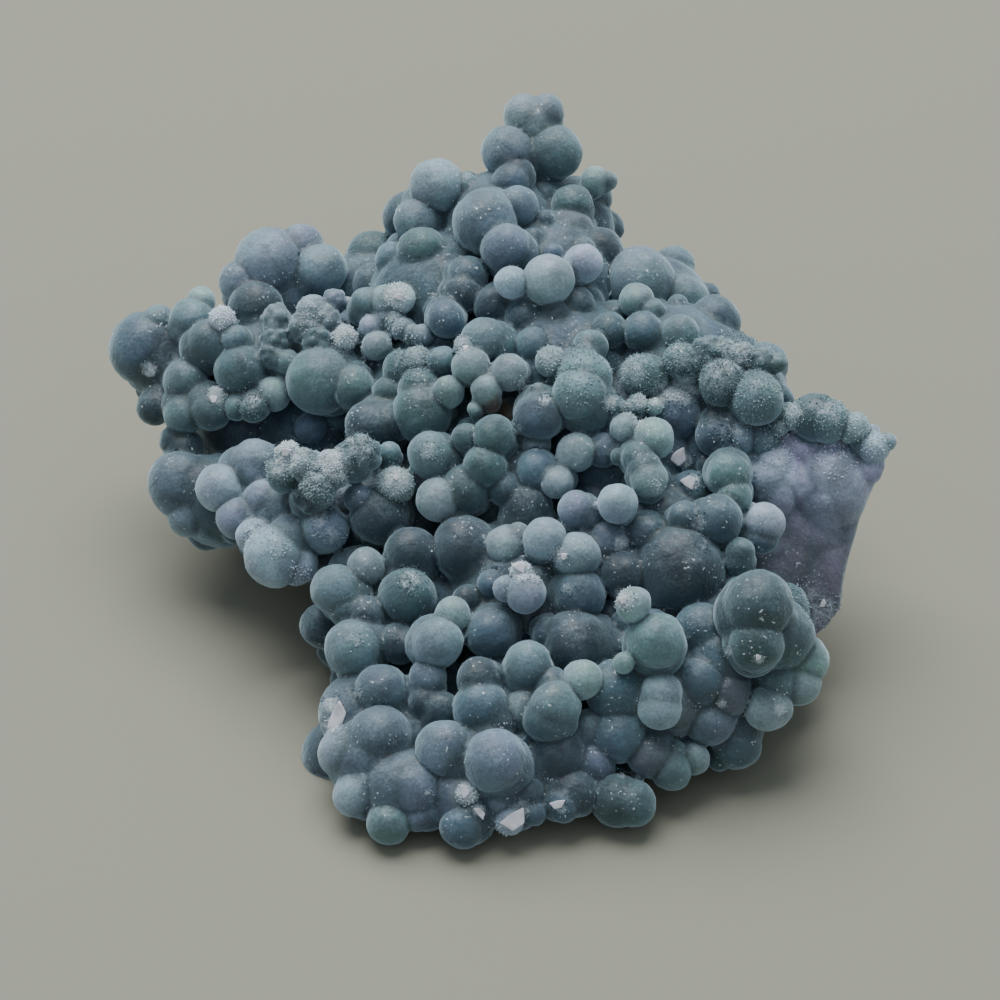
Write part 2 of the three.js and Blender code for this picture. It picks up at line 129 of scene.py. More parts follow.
left_middle = [
    (-14.9, 12.0, -8.5, 1.0, PALE),
    (-15.0, 10.6, -8.0, 1.0, SEA),
    (-15.2, 9.6, -7.5, 0.9, SEA),
    (-14.2, 9.2, -7.2, 0.9, SEA),
    (-12.5, 12.6, -8.2, 1.1, PALE),
    (-11.0, 13.4, -8.2, 0.7, MIST),
    (-13.0, 11.5, -7.8, 1.1, PALE),
    (-11.5, 12.0, -7.8, 0.9, PALE),
    (-10.3, 10.8, -7.0, 0.8, WHITE),
    (-12.2, 10.6, -7.2, 1.0, SEA),
    (-8.9, 13.2, -7.6, 1.1, SEA),
    (-7.7, 13.3, -7.2, 1.1, PALE),
    (-6.7, 13.4, -7.1, 1.1, WHITE),
    (-8.6, 11.6, -6.8, 0.8, MIST),
    (-7.6, 12.2, -7.0, 0.8, MIST),
    (-6.5, 11.4, -6.3, 0.8, MIST),
    (-5.2, 11.0, -5.6, 0.8, MIST),
    (-12.0, 8.0, -6.9, 2.3, SEA),
    (-9.8, 7.5, -6.0, 1.5, SEA),
    (-8.2, 10.3, -6.3, 1.0, PALE),
    (-6.5, 8.7, -5.0, 1.4, TEAL),
    (-5.5, 9.2, -4.5, 1.1, PALE),
    (-7.3, 7.2, -4.8, 1.2, TEAL),
    (-8.5, 4.8, -4.0, 1.9, NIGHT),
    (-7.0, 5.2, -3.5, 1.3, NIGHT),
    (-7.4, 3.1, -1.5, 0.8, SEA),
]
back_left = [
    (-15.3, 15.8, -13.0, 2.4, LAVENDER),
    (-13.3, 16.8, -13.5, 1.6, LAVENDER),
    (-17.2, 14.5, -12.5, 1.5, LAVENDER),
    (-12.0, 15.3, -12.5, 1.8, LIT_SLATE),
    (-16.3, 12.8, -11.5, 1.9, NIGHT),
    (-8.5, 16.2, -15.5, 1.8, TEAL),
]
peak = [
    (1.7, 25.6, -13.1, 1.5, PALE),
    (3.0, 25.8, -13.1, 1.3, LIT_SLATE),
    (0.5, 23.2, -12.5, 1.8, LIT_SLATE),
    (3.7, 23.2, -12.5, 1.8, SEA),
    (-4.2, 20.9, -12.0, 1.9, MIST),
    (-2.3, 20.9, -12.0, 1.0, LIT_SLATE),
    (-5.6, 18.6, -11.5, 1.5, LIT_SLATE),
    (0.7, 21.2, -11.0, 1.3, SLATE),
    (-1.0, 18.6, -8.0, 2.2, LILAC),
    (1.2, 19.6, -8.6, 1.35, LILAC),
    (0.4, 16.8, -6.5, 1.7, LILAC),
    (0.8, 14.5, -4.1, 1.15, MIST),
    (3.2, 14.7, -4.3, 1.75, PALE),
    (5.5, 15.8, -5.5, 1.35, MIST),
    (-5.2, 16.6, -9.5, 1.6, TEAL),
    (-2.2, 14.9, -7.0, 1.4, SLATE),
    (4.8, 19.7, -11.0, 1.4, TEAL),
    (6.4, 21.3, -11.5, 1.0, PALE),
    (7.2, 21.3, -11.5, 0.7, PALE),
    (4.5, 17.7, -10.5, 1.8, PLUM),
    (6.7, 16.7, -10.0, 1.5, NIGHT),
]
shoulder = [
    (9.3, 14.5, -9.5, 2.4, LIT_SLATE),
    (12.1, 13.3, -10.0, 1.8, LIT_SLATE),
    (9.1, 13.3, -5.4, 1.2, PALE),
    (10.1, 12.5, -5.0, 1.0, SEA),
    (7.3, 11.3, -4.0, 1.3, SLATE),
    (9.5, 11.2, -3.6, 1.4, SLATE),
    (12.0, 11.0, -3.3, 1.4, SEA),
    (-2.5, 13.8, -6.3, 1.3, NIGHT),
    (-0.5, 13.0, -5.7, 1.3, NIGHT),
    (1.5, 12.2, -4.9, 1.3, NIGHT),
    (3.7, 12.2, -4.7, 1.2, NIGHT),
    (5.2, 13.0, -5.4, 1.2, NIGHT),
]
middle = [
    (-3.6, 12.1, -5.0, 1.3, SLATE),
    (-1.0, 10.6, -3.5, 1.6, SEA),
    (-2.4, 10.3, -3.0, 0.7, PALE),
    (-3.9, 9.3, -3.5, 1.0, SEA),
    (-1.9, 8.9, -2.0, 1.3, PALE),
    (0.6, 8.5, -1.6, 1.3, PALE),
    (-0.9, 7.3, -1.3, 1.1, PALE),
    (2.6, 7.2, -0.8, 0.7, PALE),
    (2.6, 5.6, -0.5, 1.7, SLATE),
    (-1.7, 6.1, -1.2, 0.6, PALE),
    (-3.4, 7.2, -2.0, 1.1, PALE),
    (-5.3, 7.3, -3.5, 1.5, TEAL),
    (-5.2, 5.8, -3.0, 2.0, TEAL),
    (-4.6, 3.0, -1.0, 1.6, SEA),
    (-2.3, 4.2, -0.5, 1.0, TEAL),
    (-0.4, 4.2, -0.3, 1.5, TEAL),
    (-1.0, 2.2, 0.0, 1.5, TEAL),
    (2.4, 3.8, -1.0, 1.0, LIT_SLATE),
    (2.5, 1.9, -0.3, 1.5, SLATE),
    (5.1, 3.2, 0.0, 1.35, PALE),
    (3.8, 1.2, 0.5, 1.15, PALE),
    (5.1, -0.6, 2.6, 1.25, LAVENDER),
    (7.8, -0.2, 3.6, 1.35, MIST),
    (-4.1, 0.0, 0.0, 1.5, PALE),
    (-2.3, 0.7, -0.5, 1.7, TEAL),
    (-7.0, 1.0, -0.7, 1.3, PALE),
    (-8.0, -1.0, -1.5, 2.0, NIGHT),
    (0.3, 0.8, -0.3, 1.2, SLATE),
    (1.8, -0.5, -0.5, 1.8, NIGHT),
    (-2.4, -3.2, 0.5, 2.2, NIGHT),
    (-5.9, -3.5, 0.3, 1.8, NIGHT),
    (-8.95, -4.5, 0.8, 1.3, PALE),
]
right_middle = [
    (3.4, 9.2, -1.6, 1.1, PALE),
    (5.6, 8.2, -1.2, 1.9, SEA),
    (5.8, 9.9, -1.8, 0.8, PALE),
    (5.3, 7.0, -0.3, 1.9, SEA),
    (7.6, 6.3, -0.3, 0.7, SEA),
    (9.2, 6.4, -0.4, 0.7, SEA),
    (10.3, 6.2, -0.4, 0.6, PALE),
    (6.0, 10.2, -2.5, 1.2, SEA),
    (9.4, 8.3, -1.6, 1.4, SEA),
    (12.0, 9.3, -1.8, 1.2, SEA),
    (13.8, 9.9, -1.8, 1.0, SEA),
    (14.8, 10.0, -1.8, 0.8, PALE),
    (16.2, 9.6, -1.5, 0.9, PALE),
    (17.5, 9.3, -1.3, 0.8, PALE),
    (18.5, 9.1, -1.2, 0.6, PALE),
    (14.8, 7.8, -0.8, 1.6, TEAL),
    (17.2, 6.7, 0.0, 1.75, SEA),
    (14.5, 4.3, -1.2, 1.5, SLATE),
    (16.0, 4.2, -1.0, 1.2, LIT_SLATE),
    (17.5, 4.1, -1.0, 1.0, LIT_SLATE),
    (8.3, 4.8, 0.3, 1.0, PALE),
    (10.2, 4.1, 0.8, 1.4, PALE),
    (9.2, 2.8, 1.5, 1.2, TEAL),
    (9.9, 1.4, 2.3, 1.3, PALE),
    (9.6, 2.1, 2.0, 1.2, SLATE),
    (7.9, 2.9, 0.8, 0.6, SEA),
    (6.9, 3.3, -0.5, 1.2, LILAC),
    (15.2, 1.7, 1.2, 1.5, SEA),
    (15.6, 0.2, 1.8, 1.2, SEA),
    (14.5, -1.3, 2.8, 1.7, SLATE),
    (12.3, -1.2, 2.8, 1.2, SLATE),
    (16.0, -3.5, 3.3, 1.0, SEA),
    (7.2, -2.8, 2.2, 1.6, LILAC),
    (9.8, -2.2, 2.0, 1.6, SLATE),
    (8.2, -5.0, 3.2, 1.6, NIGHT),
    (12.0, -4.7, 2.3, 3.2, NIGHT),
]
front = [
    (-10.9, -6.0, 1.2, 1.75, SEA),
    (-10.2, -7.3, 1.5, 1.3, TEAL),
    (-11.9, -8.4, -1.0, 1.5, NIGHT),
    (-6.2, -6.4, 1.8, 1.9, TEAL),
    (-8.9, -7.7, 2.0, 1.3, NIGHT),
    (-9.8, -9.9, 2.9, 1.95, SEA),
    (-6.8, -9.6, 2.6, 1.4, NIGHT),
    (-4.2, -9.5, 5.0, 1.75, LIT_SLATE),
    (-3.2, -7.7, 4.1, 1.25, PALE),
    (-2.2, -6.6, 2.5, 1.0, NIGHT),
    (0.4, -3.0, 2.0, 1.35, PALE),
    (1.2, -2.3, 2.0, 0.8, PALE),
    (3.0, -2.6, 3.6, 1.45, MIST),
    (5.1, -3.7, 3.6, 1.6, MIST),
    (1.7, -6.2, 5.0, 1.35, MIST),
    (0.4, -5.9, 4.6, 0.9, MIST),
    (1.4, -4.8, 4.6, 0.75, WHITE),
    (-0.6, -8.9, 4.0, 1.75, SLATE),
    (3.2, -8.9, 4.6, 1.1, SLATE),
    (5.0, -9.6, 4.5, 2.3, NIGHT),
    (5.3, -6.3, 3.6, 1.8, SLATE),
    (1.8, -10.9, 6.7, 1.6, SEA),
    (5.5, -12.0, 7.5, 1.35, PALE),
    (1.7, -13.8, 6.6, 1.35, PALE),
    (3.7, -13.7, 7.9, 1.7, SEA),
    (3.4, -12.3, 7.0, 1.2, SLATE),
    (10.4, -9.4, 7.9, 1.95, SEA),
    (8.9, -6.95, 8.5, 1.2, PALE),
    (8.3, -10.8, 8.3, 0.75, PALE),
    (10.7, -12.9, 7.5, 1.45, MIST),
    (10.65, -13.8, 7.5, 1.5, MIST),
    (-7.9, -12.9, 4.5, 1.95, SLATE),
    (-10.1, -13.3, 3.0, 0.9, TEAL),
    (-11.2, -14.6, 3.5, 0.9, WHITE),
    (-8.0, -15.9, 6.0, 2.2, DUSK),
    (-10.2, -16.8, 5.5, 1.9, MIST),
    (-4.8, -11.9, 5.0, 1.3, LILAC),
    (-5.0, -13.4, 5.4, 1.1, NIGHT),
    (-1.4, -11.9, 6.0, 1.5, NIGHT),
    (-1.2, -13.9, 6.6, 1.9, SLATE),
    (-4.0, -14.0, 5.6, 1.3, NIGHT),
    (-3.7, -16.6, 7.6, 1.95, LILAC),
    (-0.35, -17.4, 8.7, 2.15, LILAC),
    (7.9, -12.8, 6.0, 2.2, SLATE),
    (7.9, -15.6, 6.2, 2.0, SLATE),
    (5.9, -15.2, 6.2, 1.3, LIT_SLATE),
    (3.8, -16.9, 6.3, 2.2, NIGHT),
    (6.2, -17.5, 6.3, 1.5, LILAC),
    (10.0, -17.0, 6.2, 1.6, PLUM),
    (13.4, -8.7, 4.6, 1.9, SLATE),
    (13.3, -12.2, 5.8, 1.9, SLATE),
    (15.2, -12.9, 5.8, 1.5, PLUM),
    (17.2, -7.0, 7.2, 2.4, TEAL),
    (17.1, -9.6, 7.6, 1.9, TEAL),
    (18.7, -8.0, 6.8, 1.2, PALE),
]
foot = [
    (-9.6, -19.6, 6.8, 1.6, MIST),
    (-7.4, -21.5, 8.0, 1.5, SEA),
    (-5.8, -19.3, 7.5, 2.0, LILAC),
    (-5.5, -21.0, 7.8, 1.2, LILAC),
    (-2.3, -19.6, 8.5, 0.9, WHITE),
    (-2.5, -21.8, 8.4, 1.5, SLATE),
    (0.0, -20.0, 7.6, 1.3, LIT_SLATE),
    (1.6, -19.6, 7.2, 1.6, NIGHT),
    (0.6, -21.4, 8.3, 1.0, MIST),
    (2.3, -20.9, 8.0, 0.9, SLATE),
    (4.2, -20.4, 7.8, 1.15, SLATE),
    (5.0, -19.5, 7.0, 1.7, NIGHT),
    (8.8, -20.2, 7.2, 1.65, TEAL),
    (11.4, -18.0, 6.2, 1.4, SEA),
    (12.95, -17.3, 5.6, 1.1, PALE),
    (14.6, -17.2, 4.0, 0.9, TEAL),
    (15.7, -16.3, 4.2, 1.7, TEAL),
    (14.0, -14.6, 5.2, 1.8, LILAC),
    (17.9, -13.9, 5.6, 1.6, PALE),
    (18.6, -12.1, 5.2, 1.5, SEA),
    (19.8, -12.2, 4.8, 1.6, PALE),
    (20.3, -10.6, 4.6, 1.65, PALE),
]
shard_knobs = [
    (19.6, 5.6, -0.5, 0.9, PALE),
    (18.6, 4.9, -0.5, 0.6, PALE),
    (21.8, 5.3, -0.5, 1.5, SEA),
    (23.6, 4.8, -0.5, 1.1, PALE),
    (24.9, 3.5, -0.5, 1.1, MIST),
    (25.9, 3.9, -0.5, 0.6, MIST),
    (17.65, -1.5, 2.0, 1.4, BEAD),
]

# The shard's face swells into two broad lobes, and its top corner runs out into a fin. Each row:
# how far right, up and in front, and the reach to the right, up and to the front.
shard_lobes = [
    (22.1, 0.8, -1.3, 2.5, 2.9, 1.9),
    (18.4, 1.2, -1.2, 1.8, 2.4, 1.8),
    (24.9, 3.1, -1.0, 0.9, 2.0, 1.2),
]

# Low swells that run neighbouring grapes together.
swells = [
    (-9.0, -14.4, 2.8, 3.1, DUSK),
    (-8.6, -17.2, 5.0, 3.0, DUSK),
    (-6.6, -19.2, 6.4, 2.8, DUSK),
    (-3.0, -19.6, 6.6, 2.4, DUSK),
    (-8.8, -19.2, 6.0, 2.2, DUSK),
    (0.6, -19.6, 6.2, 2.6, LAVENDER),
    (-16.3, -2.5, -3.0, 1.3, MIST),
    (-13.9, -2.6, -2.4, 1.7, LILAC),
    (-13.6, -4.2, -2.2, 1.5, MIST),
    (2.3, 25.2, -13.3, 1.75, PALE),
    (-8.1, 11.8, -7.0, 0.75, PALE),
    (-7.1, 11.9, -6.7, 0.75, PALE),
    (-5.9, 11.1, -6.0, 0.75, PALE),
    (11.4, -13.2, 4.9, 2.7, PLUM),
    (14.6, -10.8, 4.2, 2.8, SLATE),
    (18.4, -9.0, 5.4, 2.6, TEAL),
]

# White sugar: how far right, how far up, how far it reaches, how thick it lies.
sugar_patches = [
    (-18.4, 12.2, 0.8, 0.8),
    (-23.4, 8.7, 0.6, 1.0),
    (-18.9, 7.0, 0.7, 0.9),
    (-16.6, 6.6, 1.0, 0.5),
    (-14.1, 3.1, 1.1, 1.0),
    (-14.7, 2.0, 1.0, 0.7),
    (-13.0, 2.4, 1.0, 0.5),
    (-11.1, 2.4, 1.3, 0.9),
    (-9.4, 3.6, 1.3, 0.5),
    (-12.2, 1.0, 1.4, 0.4),
    (-10.3, 10.8, 1.0, 0.9),
    (-12.6, 12.4, 1.2, 0.4),
    (-7.0, 13.6, 0.9, 1.0),
    (-6.9, 1.2, 1.3, 0.8),
    (-4.8, 3.3, 0.8, 0.6),
    (-2.4, 10.4, 0.6, 1.0),
    (-6.0, 9.4, 1.6, 0.35),
    (1.2, 4.7, 0.4, 0.7),
    (1.6, 7.8, 0.6, 0.6),
    (3.0, 6.7, 0.5, 0.7),
    (5.4, 9.9, 1.0, 0.25),
    (3.4, 9.4, 0.9, 0.5),
    (5.2, 8.0, 1.8, 0.15),
    (7.4, 6.5, 0.6, 0.9),
    (8.5, 6.2, 0.6, 0.9),
    (9.4, 6.6, 0.7, 0.9),
    (10.4, 6.7, 0.6, 0.9),
    (11.4, 7.0, 0.5, 0.7),
    (15.4, 5.0, 1.6, 0.35),
    (18.6, 3.4, 1.6, 0.3),
    (22.3, 2.9, 1.4, 0.3),
    (25.0, 3.7, 1.0, 0.35),
    (-16.4, -2.2, 0.8, 0.4),
    (-14.8, -2.9, 1.0, 0.4),
    (-13.4, -4.9, 0.8, 0.4),
    (-12.1, -1.2, 0.9, 0.55),
    (-11.2, -2.4, 0.9, 0.5),
    (-7.0, 11.8, 0.7, 0.45),
    (10.8, 7.2, 1.0, 0.7),
    (9.3, 5.2, 0.5, 0.9),
    (8.8, 8.6, 1.6, 0.5),
    (12.3, 7.3, 1.2, 0.8),
    (12.4, 9.4, 1.6, 0.45),
    (15.6, 9.6, 1.6, 0.55),
    (14.6, 8.1, 1.8, 0.5),
    (17.2, 7.2, 1.6, 0.35),
    (19.6, 5.8, 0.9, 0.6),
    (22.0, 5.8, 1.4, 0.45),
    (24.0, 4.9, 1.0, 0.4),
    (12.3, 2.6, 0.6, 1.0),
    (12.8, 1.2, 0.6, 1.0),
    (10.5, 0.9, 0.5, 0.6),
    (13.3, -1.5, 0.7, 0.6),
    (13.5, -2.9, 0.5, 0.5),
    (8.1, -2.9, 0.7, 0.7),
    (3.9, -3.7, 0.6, 0.9),
    (1.4, -4.7, 0.8, 1.0),
    (2.4, -4.9, 0.6, 0.9),
    (4.4, -5.9, 0.5, 0.5),
    (8.2, -6.6, 0.8, 1.0),
    (-9.6, -9.4, 0.5, 0.6),
    (-5.9, -5.4, 1.0, 0.5),
    (-9.4, -12.9, 0.4, 0.6),
    (-11.3, -13.6, 0.6, 1.0),
    (-11.2, -15.0, 0.6, 1.0),
    (-7.0, -16.1, 0.3, 0.8),
    (-4.8, -19.5, 0.3, 0.8),
    (-2.2, -19.6, 0.7, 0.8),
    (-1.4, -20.7, 0.5, 1.0),
    (1.4, -20.6, 0.8, 0.7),
    (0.0, -22.0, 0.7, 0.4),
    (4.1, -20.6, 0.5, 0.7),
    (8.2, -18.3, 0.4, 0.6),
    (15.2, -10.1, 0.4, 0.9),
    (17.3, -10.6, 0.4, 0.9),
    (18.7, -14.0, 0.5, 0.8),
    (14.8, -13.6, 0.4, 0.8),
    (21.6, -7.4, 1.2, 0.5),
    (20.6, -6.2, 1.2, 0.35),
]

# The hidden body, and on it the grapes that carry on over the sides and back.
body = [
    (-6.0, -17.0, 1.0, 5.6),
    (2.0, -15.0, 0.5, 6.0),
    (10.0, -12.0, 0.0, 6.0),
    (15.5, -10.0, 1.0, 5.0),
    (-6.0, -9.0, -3.5, 5.8),
    (2.0, -7.0, -2.5, 6.3),
    (10.0, -4.0, -3.5, 6.3),
    (-7.0, -2.0, -7.5, 5.6),
    (0.0, 1.0, -7.0, 6.2),
    (8.0, 3.0, -6.3, 6.0),
    (15.0, 3.0, -6.2, 4.8),
    (-4.0, 6.0, -9.3, 5.6),
    (4.0, 8.0, -8.2, 6.0),
    (12.0, 8.0, -7.2, 5.2),
    (16.0, 7.0, -4.5, 3.2),
    (-10.0, 8.5, -11.6, 4.2),
    (-15.5, 9.0, -12.2, 3.8),
    (-21.0, 8.5, -12.8, 3.0),
    (-4.0, 13.0, -12.2, 5.0),
    (3.0, 14.0, -11.8, 5.4),
    (10.0, 12.0, -13.0, 4.4),
    (-14.0, 13.5, -15.5, 3.8),
    (-8.5, 13.5, -15.5, 3.4),
    (0.0, 18.0, -13.2, 4.0),
    (4.5, 18.0, -14.5, 3.2),
    (2.0, 22.5, -14.2, 2.4),
    (-4.5, 19.0, -14.0, 2.4),
    (-18.5, 0.0, -9.0, 3.2),
    (-13.5, -1.5, -6.0, 3.8),
    (-17.0, 4.5, -13.5, 3.4),
    (-12.5, 4.0, -12.5, 4.2),
    (1.0, -19.0, 4.2, 3.2),
    (1.5, 19.5, -16.5, 3.4),
    (1.5, 14.0, -18.0, 4.6),
    (2.0, -5.0, -8.5, 5.6),
    (9.0, -5.0, -8.5, 5.4),
    (-8.0, 0.0, -15.0, 5.2),
    (-2.0, -1.0, -13.0, 5.6),
    (7.0, 0.0, -14.5, 5.6),
    (12.5, 0.5, -12.5, 5.2),
    (3.0, 4.0, -20.0, 5.4),
    (0.0, 9.0, -17.0, 5.2),
    (8.5, 7.5, -16.0, 4.6),
    (-8.0, 7.0, -17.0, 4.6),
]

COVER_RADII = (1.5, 2.2, 1.8, 2.5)
COVER_COLOURS = (SLATE, TEAL, LILAC, SEA, NIGHT)
COVER_SINK = 0.35
COVER_SHOWS = 0.3
COVER_BELOW_TABLE = 0.5
COVER_SPACING = 0.86
COVER_PER_AREA = 0.085
SMALL_COVER_RADII = (1.2, 0.8, 1.0)
SMALL_COVER_PER_AREA = 0.24
WART_UPWARD = 0.7
PERCHED_FOOT = (0.85, 0.7)
BEDDED_FOOT = (1.12, 0.6)
GOLDEN_ANGLE = math.pi * (3 - math.sqrt(5))


def ball(right, up, near, radius, colour=SLATE):
    spread = 1 - near / EYE_DISTANCE
    across = Vector((right * spread, 0, 0)) + PLANE_UP * (up * spread)
    return PLANE_CENTRE + across + PLANE_FRONT * near, radius * spread, colour


def spiral(count, first_turn=0.0):
    """Directions spread evenly over a ball, from its top to its bottom."""
    for i in range(count):
        height = 1 - (2 * i + 1) / count
        ring = math.sqrt(1 - height * height)
        turn = GOLDEN_ANGLE * i + first_turn
        yield Vector((ring * math.cos(turn), ring * math.sin(turn), height))


def cover_balls(lumps, grapes, radii, per_area):
    """Grapes spread over each lump, each taking half its colour from the lump."""
    cover = []
    for number, (middle_of_lump, reach, under) in enumerate(lumps):
        count = int(4 * math.pi * reach**2 * per_area + 0.5)
        for i, outward in enumerate(spiral(count, GOLDEN_ANGLE * number)):
            radius = radii[(i * 3 + number) % len(radii)]
            sunk = COVER_SINK * radius
            centre = middle_of_lump + outward * (reach - sunk)
            buried = any(
                (centre - other[0]).length < other[1] - sunk - COVER_SHOWS
                for other in lumps[:number] + lumps[number + 1:])
            crowded = any(
                (centre - other[0]).length < COVER_SPACING * (other[1] + radius)
                for other in grapes + cover)
            if not buried and not crowded and centre.z > -COVER_BELOW_TABLE * radius:
                own = COVER_COLOURS[(i * 2 + number) % len(COVER_COLOURS)]
                cover.append((centre, radius, tuple((a + b) / 2 for a, b in zip(own, under))))
    return cover


def warts_on(grapes, share, sunk, count):
    """Small warts that crowd over the outer side of each grape, like a cauliflower's."""
    warts = []
    for number, (centre, radius, colour) in enumerate(grapes):
        for i, outward in enumerate(spiral(count, number)):
            if outward.dot(PLANE_FRONT) + WART_UPWARD * outward.z > 0:
                size = radius * (share + 0.1 * math.sin(5.1 * i + number))
                warts.append((centre + outward * (radius - sunk * size), size, colour))
    return warts


def feet_under(grapes, lumps):
    """The broad foot each grape stands on, sunk towards the body so that the grapes are half bedded."""
    feet = []
    for centre, radius, colour in grapes:
        inward = (min(lumps, key=lambda lump: (lump[0] - centre).length)[0] - centre).normalized()
        wide, deep = PERCHED_FOOT if colour in PERCHED else BEDDED_FOOT
        feet.append((centre + inward * deep * radius, wide * radius, GROUND[colour]))
    return feet


PERCHED = (PALE, MIST, BEAD, WHITE)
GROUND = {
    NIGHT: NIGHT, SLATE: NIGHT, DUSK: NIGHT, TEAL: MOSS, SEA: TEAL, LIT_SLATE: SLATE, PALE: SLATE, LILAC: SLATE,
    MIST: SLATE, BEAD: SLATE, LAVENDER: LILAC, PLUM: NIGHT, WHITE: SEA,
}

rows_in_order = (left_wing + low_left + finger + left_middle + back_left + peak + shoulder + middle
                 + right_middle + front + foot + shard_knobs)
grapes = [ball(*row) for row in rows_in_order]
lumps = [ball(*row) for row in body]
cover = cover_balls(lumps, grapes, COVER_RADII, COVER_PER_AREA)
cover += cover_balls(lumps, grapes + cover, SMALL_COVER_RADII, SMALL_COVER_PER_AREA)
feet = feet_under(grapes, lumps)
merging = [ball(*row) for row in swells]
# The finger and two stretches of the middle are rough with warts.
warty = finger + left_middle[:3] + left_middle[5:10] + right_middle[10:15]
warts = warts_on([ball(*row) for row in warty], share=0.40, sunk=0.55, count=18)
balls = grapes + lumps + cover + feet + warts + merging

bpy.ops.object.select_all(action="DESELECT")
bpy.ops.mesh.primitive_ico_sphere_add(subdivisions=4, radius=1)
round_ball = bpy.context.object
parts = []
for centre, radius, _ in balls:
    part = round_ball.copy()
    part.data = round_ball.data.copy()
    part.location = centre
    part.scale = (radius, radius, radius)
    bpy.context.collection.objects.link(part)
    parts.append(part)
along_plane = Matrix(((1, 0, 0), PLANE_UP, PLANE_FRONT)).transposed().to_4x4()
for right, up, near, *reach in shard_lobes:
    lobe = round_ball.copy()
    lobe.data = round_ball.data.copy()
    lobe.matrix_world = (
        Matrix.Translation(ball(right, up, near, 1)[0]) @ along_plane @ Matrix.Diagonal((*reach, 1)))
    bpy.context.collection.objects.link(lobe)
    parts.append(lobe)
bpy.data.objects.remove(round_ball)

# The shard on the right is a broken plate with blunt edges.
SHARD_FRONT = -0.8
SHARD_THICKNESS = 3.2
SHARD_EDGE = 0.6
shard_outline = [
    (16.0, 3.6),
    (19.5, 4.6),
    (24.6, 4.2),
    (25.4, 2.4),
    (23.7, -1.4),
    (22.7, -5.2),
    (22.5, -7.2),
    (21.1, -9.0),
    (18.5, -9.6),
    (15.0, -5.0),
]
bpy.ops.object.select_all(action="DESELECT")
bpy.ops.mesh.primitive_circle_add(vertices=len(shard_outline), radius=1, fill_type="NGON")
shard = bpy.context.object
back_face = SHARD_FRONT - SHARD_THICKNESS
for vertex, (right, up) in zip(shard.data.vertices, reversed(shard_outline)):
    vertex.co = ball(right, up, back_face, 1)[0]
bpy.ops.object.mode_set(mode="EDIT")
bpy.ops.mesh.select_all(action="SELECT")
bpy.ops.mesh.normals_make_consistent(inside=False)
bpy.ops.mesh.extrude_region_move(
    TRANSFORM_OT_translate={"value": PLANE_FRONT * SHARD_THICKNESS})
bpy.ops.mesh.select_all(action="SELECT")
bpy.ops.mesh.normals_make_consistent(inside=False)
bpy.ops.mesh.bevel(offset=SHARD_EDGE, segments=3, affect="EDGES")
bpy.ops.object.mode_set(mode="OBJECT")
parts.append(shard)

bpy.ops.object.select_all(action="DESELECT")
for part in parts:
    part.select_set(True)
bpy.context.view_layer.objects.active = parts[0]
bpy.ops.object.join()
cluster = bpy.context.object
cluster.name = "grape_cluster"
bpy.ops.object.transform_apply(location=True, rotation=True, scale=True)

# Fusing the balls into one skin.
SKIN_STEP = 0.19
POINTS_AT_ONCE = 20000
ball_centres = np.array([tuple(centre) for centre, _, _ in balls], np.float32)
ball_radii = np.array([radius for _, radius, _ in balls], np.float32)
fuse = cluster.modifiers.new("fuse", "REMESH")
fuse.mode = "VOXEL"
fuse.voxel_size = SKIN_STEP
bpy.ops.object.modifier_apply(modifier=fuse.name)


def skin_points(skin):
    points = np.empty(len(skin.data.vertices) * 3, np.float32)
    skin.data.vertices.foreach_get("co", points)
    return points.reshape(-1, 3)


def nearest_balls(points):
    """For each point, its two nearest balls and how far it lies outside each of them."""
    pairs = np.empty((len(points), 2), int)
    gaps = np.empty((len(points), 2), np.float32)
    for start in range(0, len(points), POINTS_AT_ONCE):
        batch = slice(start, start + POINTS_AT_ONCE)
        some = points[batch]
        square = (some**2).sum(1)[:, None] + (ball_centres**2).sum(1) - 2 * some @ ball_centres.T
        reach = np.sqrt(np.maximum(square, 0)) - ball_radii
        two = np.argpartition(reach, 1, axis=1)[:, :2]
        depth = np.take_along_axis(reach, two, axis=1)
        order = np.argsort(depth, axis=1)
        pairs[batch] = np.take_along_axis(two, order, axis=1)
        gaps[batch] = np.take_along_axis(depth, order, axis=1)
    return pairs, gaps


# Fusing rounds the creases off, so the skin is drawn back onto its balls.
CREASE_PULL = 0.18
CREASE_WIDTH = 0.16
points = skin_points(cluster)
pairs, gaps = nearest_balls(points)
drawn = points.copy()
on_ball = np.abs(gaps[:, 0]) < 2 * SKIN_STEP
in_crease = on_ball & (gaps[:, 1] - gaps[:, 0] < CREASE_WIDTH)
for which, there in ((0, on_ball), (1, in_crease), (0, in_crease), (1, in_crease), (0, in_crease)):
    ball_number = pairs[there, which]
    away = drawn[there] - ball_centres[ball_number]
    length = np.linalg.norm(away, axis=1, keepdims=True)
    drawn[there] = ball_centres[ball_number] + away / length * ball_radii[ball_number][:, None]
pull = drawn - points
length = np.linalg.norm(pull, axis=1, keepdims=True)
points += pull * np.minimum(1, CREASE_PULL / np.maximum(length, 1e-6))
cluster.data.vertices.foreach_set("co", points.ravel())
cluster.data.update()

# Uneven growth, in broad waves over the whole skin.
WAVE_LENGTH = 2.2
WAVE_HEIGHT = 0.32
cloud = bpy.data.textures.new("waves", "CLOUDS")
cloud.noise_scale = WAVE_LENGTH
swell = cluster.modifiers.new("swell", "DISPLACE")
swell.texture = cloud
swell.texture_coords = "LOCAL"
swell.strength = WAVE_HEIGHT
swell.mid_level = 0.5
bpy.ops.object.modifier_apply(modifier=swell.name)


